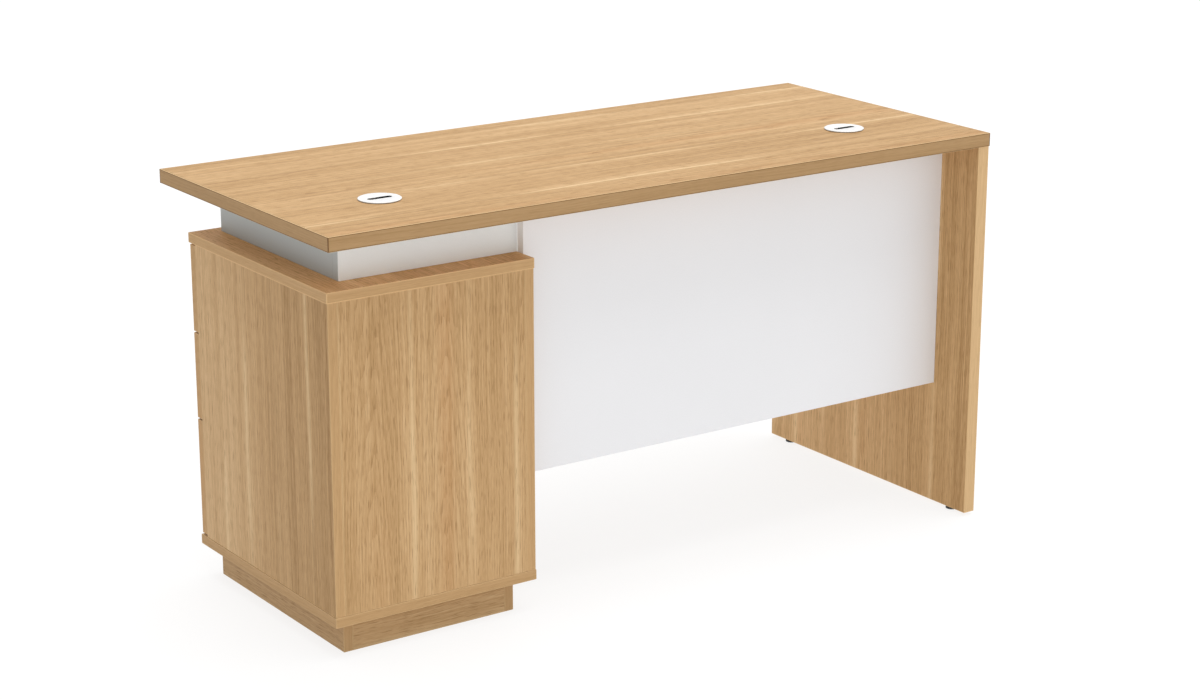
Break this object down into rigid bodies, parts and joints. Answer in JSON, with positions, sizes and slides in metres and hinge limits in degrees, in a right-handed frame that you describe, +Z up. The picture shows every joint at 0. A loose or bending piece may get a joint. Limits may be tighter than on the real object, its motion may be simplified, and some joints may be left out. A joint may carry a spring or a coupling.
{
  "type": "pedestal desk",
  "caption": "Office desk of oak-pattern boards: a drawer pedestal with a riser carries one end, an end panel on glides the other, with a white modesty panel and cable grommets.",
  "frame": {"origin": "on the floor under the middle of the desktop", "axes": "+X along the desktop from the pedestal to the end panel, +Y towards the user, +Z up"},
  "size_m": [1.4, 0.6, 0.7525],
  "materials": {
    "oak_board": "light oak laminate, satin",
    "white_board": "white laminate, satin",
    "drawer_board": "pale grey laminate, matt",
    "white_plastic": "moulded, satin",
    "dark_plastic": "moulded, matt",
    "nylon": "moulded nylon",
    "coated_steel": "white epoxy coat",
    "zinc_steel": "zinc plated",
    "satin_aluminium": "satin anodised",
    "lock_chrome": "polished chrome"
  },
  "bodies": {
    "desk_frame": {"desktop": "oak_board", "desktop_edging": "oak_board", "end_panel": "oak_board", "pedestal_top": "oak_board", "pedestal_bottom": "oak_board", "pedestal_left_side": "oak_board", "pedestal_right_side": "oak_board", "pedestal_back": "oak_board", "plinth_left_board": "oak_board", "plinth_right_board": "oak_board", "plinth_visitor_board": "oak_board", "plinth_user_board": "oak_board", "modesty_panel": "white_board", "riser_visitor_board": "white_board", "riser_left_board": "white_board", "riser_right_board": "white_board", "grommet_liners": "white_plastic", "glide_sockets": "zinc_steel", "upper_cabinet_runners": "coated_steel", "middle_cabinet_runners": "coated_steel", "lower_cabinet_runners": "coated_steel"},
    "upper_drawer": {"upper_drawer_front": "oak_board", "upper_drawer_left_side": "drawer_board", "upper_drawer_right_side": "drawer_board", "upper_drawer_back": "drawer_board", "upper_drawer_bottom": "drawer_board", "upper_drawer_handle": "satin_aluminium", "upper_drawer_runners": "coated_steel", "lock_housing": "lock_chrome"},
    "upper_cabinet_rollers": {"upper_cabinet_rollers": "nylon"},
    "upper_drawer_rollers": {"upper_drawer_rollers": "nylon"},
    "middle_drawer": {"middle_drawer_front": "oak_board", "middle_drawer_left_side": "drawer_board", "middle_drawer_right_side": "drawer_board", "middle_drawer_back": "drawer_board", "middle_drawer_bottom": "drawer_board", "middle_drawer_handle": "satin_aluminium", "middle_drawer_runners": "coated_steel"},
    "middle_cabinet_rollers": {"middle_cabinet_rollers": "nylon"},
    "middle_drawer_rollers": {"middle_drawer_rollers": "nylon"},
    "lower_drawer": {"lower_drawer_front": "oak_board", "lower_drawer_left_side": "drawer_board", "lower_drawer_right_side": "drawer_board", "lower_drawer_back": "drawer_board", "lower_drawer_bottom": "drawer_board", "lower_drawer_handle": "satin_aluminium", "lower_drawer_runners": "coated_steel"},
    "lower_cabinet_rollers": {"lower_cabinet_rollers": "nylon"},
    "lower_drawer_rollers": {"lower_drawer_rollers": "nylon"},
    "drawer_lock": {"lock_plug": "lock_chrome", "lock_tongue": "zinc_steel"},
    "left_grommet_cap": {"left_grommet_cap": "white_plastic"},
    "right_grommet_cap": {"right_grommet_cap": "white_plastic"},
    "visitor_glide": {"visitor_glide": "dark_plastic"},
    "user_glide": {"user_glide": "dark_plastic"}
  },
  "joints": [
    {"name": "upper_drawer_slide", "type": "slide", "parent": "desk_frame", "child": "upper_drawer", "axis": [0, 1, 0], "range_m": [0, 0.3]},
    {"name": "upper_cabinet_rollers_turn", "type": "hinge", "parent": "desk_frame", "child": "upper_cabinet_rollers", "pos_m": [-0.47, 0.222, 0.4893], "axis": [-1, 0, 0], "range_deg": [0, 1910]},
    {"name": "upper_drawer_rollers_turn", "type": "hinge", "parent": "upper_drawer", "child": "upper_drawer_rollers", "pos_m": [-0.47, -0.146, 0.4875], "axis": [-1, 0, 0], "range_deg": [0, 1910]},
    {"name": "middle_drawer_slide", "type": "slide", "parent": "desk_frame", "child": "middle_drawer", "axis": [0, 1, 0], "range_m": [0, 0.3]},
    {"name": "middle_cabinet_rollers_turn", "type": "hinge", "parent": "desk_frame", "child": "middle_cabinet_rollers", "pos_m": [-0.47, 0.222, 0.3283], "axis": [-1, 0, 0], "range_deg": [0, 1910]},
    {"name": "middle_drawer_rollers_turn", "type": "hinge", "parent": "middle_drawer", "child": "middle_drawer_rollers", "pos_m": [-0.47, -0.146, 0.3265], "axis": [-1, 0, 0], "range_deg": [0, 1910]},
    {"name": "lower_drawer_slide", "type": "slide", "parent": "desk_frame", "child": "lower_drawer", "axis": [0, 1, 0], "range_m": [0, 0.3]},
    {"name": "lower_cabinet_rollers_turn", "type": "hinge", "parent": "desk_frame", "child": "lower_cabinet_rollers", "pos_m": [-0.47, 0.222, 0.1093], "axis": [-1, 0, 0], "range_deg": [0, 1910]},
    {"name": "lower_drawer_rollers_turn", "type": "hinge", "parent": "lower_drawer", "child": "lower_drawer_rollers", "pos_m": [-0.47, -0.146, 0.1075], "axis": [-1, 0, 0], "range_deg": [0, 1910]},
    {"name": "lock_turn", "type": "hinge", "parent": "upper_drawer", "child": "drawer_lock", "pos_m": [-0.312, 0.24, 0.597], "axis": [0, 1, 0], "range_deg": [0, 90]},
    {"name": "left_grommet_cap_lift", "type": "slide", "parent": "desk_frame", "child": "left_grommet_cap", "axis": [0, 0, 1], "range_m": [0, 0.03]},
    {"name": "right_grommet_cap_lift", "type": "slide", "parent": "desk_frame", "child": "right_grommet_cap", "axis": [0, 0, 1], "range_m": [0, 0.03]},
    {"name": "visitor_glide_turn", "type": "hinge", "parent": "desk_frame", "child": "visitor_glide", "pos_m": [0.6865, -0.249, 0], "axis": [0, 0, 1], "continuous": true},
    {"name": "user_glide_turn", "type": "hinge", "parent": "desk_frame", "child": "user_glide", "pos_m": [0.6865, 0.249, 0], "axis": [0, 0, 1], "continuous": true}
  ],
  "couplings": [
    {"joint": "upper_cabinet_rollers_turn", "follows": "upper_drawer_slide", "rad_per_m": 111.11},
    {"joint": "upper_drawer_rollers_turn", "follows": "upper_drawer_slide", "rad_per_m": 111.11},
    {"joint": "middle_cabinet_rollers_turn", "follows": "middle_drawer_slide", "rad_per_m": 111.11},
    {"joint": "middle_drawer_rollers_turn", "follows": "middle_drawer_slide", "rad_per_m": 111.11},
    {"joint": "lower_cabinet_rollers_turn", "follows": "lower_drawer_slide", "rad_per_m": 111.11},
    {"joint": "lower_drawer_rollers_turn", "follows": "lower_drawer_slide", "rad_per_m": 111.11}
  ]
}
